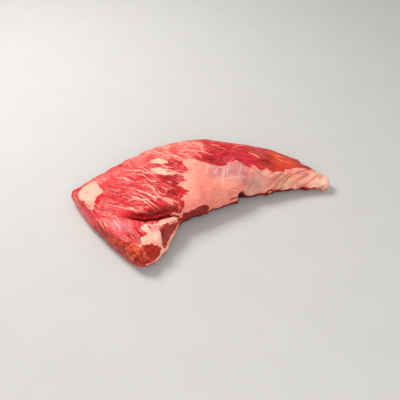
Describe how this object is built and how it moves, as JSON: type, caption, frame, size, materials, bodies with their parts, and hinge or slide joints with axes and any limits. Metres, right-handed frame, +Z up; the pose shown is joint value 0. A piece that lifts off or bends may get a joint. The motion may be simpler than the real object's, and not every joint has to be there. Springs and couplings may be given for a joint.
{
  "type": "raw beef tri-tip",
  "caption": "Raw boneless beef roast, a curved wedge tapering to a tail, fat side up, with a deep seam between its two muscles at the wide knife-cut end.",
  "frame": {"origin": "middle of the underside's box, on the plane the roast lies on", "axes": "+Z up, fat side up; +X from the wide knife-cut end towards the tail; +Y towards the bulging back edge"},
  "size_m": [0.3384, 0.196, 0.0508],
  "materials": {
    "raw_beef": "moist raw beef, deep red muscle with pale fat"
  },
  "bodies": {
    "root": {"beef_tri_tip": "raw_beef"}
  },
  "joints": []
}
